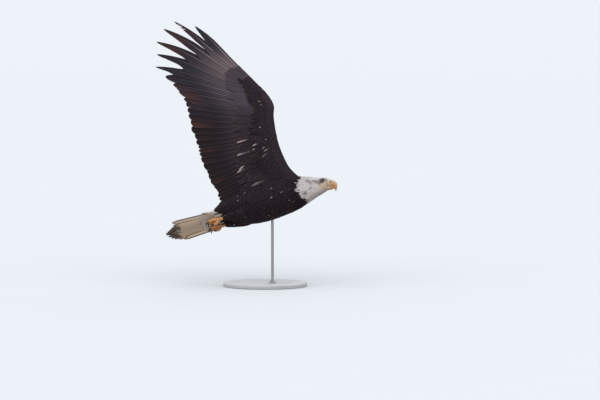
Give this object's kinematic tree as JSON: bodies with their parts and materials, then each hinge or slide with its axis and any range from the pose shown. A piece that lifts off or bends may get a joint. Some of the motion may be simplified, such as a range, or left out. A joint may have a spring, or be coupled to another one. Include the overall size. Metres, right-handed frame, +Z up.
{
  "type": "bald eagle in flight on a display stand",
  "caption": "Life-size bald eagle flying with both wings raised and feet tucked back, banked towards the viewer, held by one rod on a round flat base.",
  "frame": {"origin": "centre of the stand base's underside", "axes": "+Z up, +X the way the bird flies, +Y to its left"},
  "size_m": [0.8713, 0.8442, 1.2598],
  "materials": {
    "brown_plumage": "dark purplish brown overlapping feathers",
    "flight_feathers": "dark grey-brown vanes with paler quills",
    "white_plumage": "soft white feathers",
    "tail_feathers": "cream-white vanes with dark brown tips and edges",
    "bill_horn": "yellow-orange horn, dusky along the ridge",
    "foot_skin": "golden scaled skin",
    "claw_horn": "black horn",
    "eye": "pale yellow iris and black pupil under a clear wet surface",
    "stand_lacquer": "satin light grey lacquer",
    "stand_steel": "brushed"
  },
  "bodies": {
    "root": {"alula_left": "brown_plumage", "alula_right": "brown_plumage", "bill_lower": "bill_horn", "bill_upper": "bill_horn", "claw_hind_left": "claw_horn", "claw_hind_right": "claw_horn", "claw_inner_left": "claw_horn", "claw_inner_right": "claw_horn", "claw_middle_left": "claw_horn", "claw_middle_right": "claw_horn", "claw_outer_left": "claw_horn", "claw_outer_right": "claw_horn", "eye_left": "eye", "eye_right": "eye", "foot_left": "foot_skin", "foot_right": "foot_skin", "head": "white_plumage", "neck": "white_plumage", "primaries_inner_left": "flight_feathers", "primaries_inner_right": "flight_feathers", "primary_10_left": "flight_feathers", "primary_10_right": "flight_feathers", "primary_5_left": "flight_feathers", "primary_5_right": "flight_feathers", "primary_6_left": "flight_feathers", "primary_6_right": "flight_feathers", "primary_7_left": "flight_feathers", "primary_7_right": "flight_feathers", "primary_8_left": "flight_feathers", "primary_8_right": "flight_feathers", "primary_9_left": "flight_feathers", "primary_9_right": "flight_feathers", "secondaries_inner_left": "flight_feathers", "secondaries_inner_right": "flight_feathers", "secondaries_outer_left": "flight_feathers", "secondaries_outer_right": "flight_feathers", "shank_left": "foot_skin", "shank_right": "foot_skin", "stand_base": "stand_lacquer", "stand_collar": "stand_steel", "stand_rod": "stand_steel", "tail_coverts": "white_plumage", "tail_feathers_left": "tail_feathers", "tail_feathers_right": "tail_feathers", "tertials_left": "flight_feathers", "tertials_right": "flight_feathers", "thigh_left": "brown_plumage", "thigh_right": "brown_plumage", "trunk": "brown_plumage", "wing_forearm_left": "brown_plumage", "wing_forearm_right": "brown_plumage", "wing_hand_left": "brown_plumage", "wing_hand_right": "brown_plumage", "wing_upper_arm_left": "brown_plumage", "wing_upper_arm_right": "brown_plumage"}
  },
  "joints": []
}
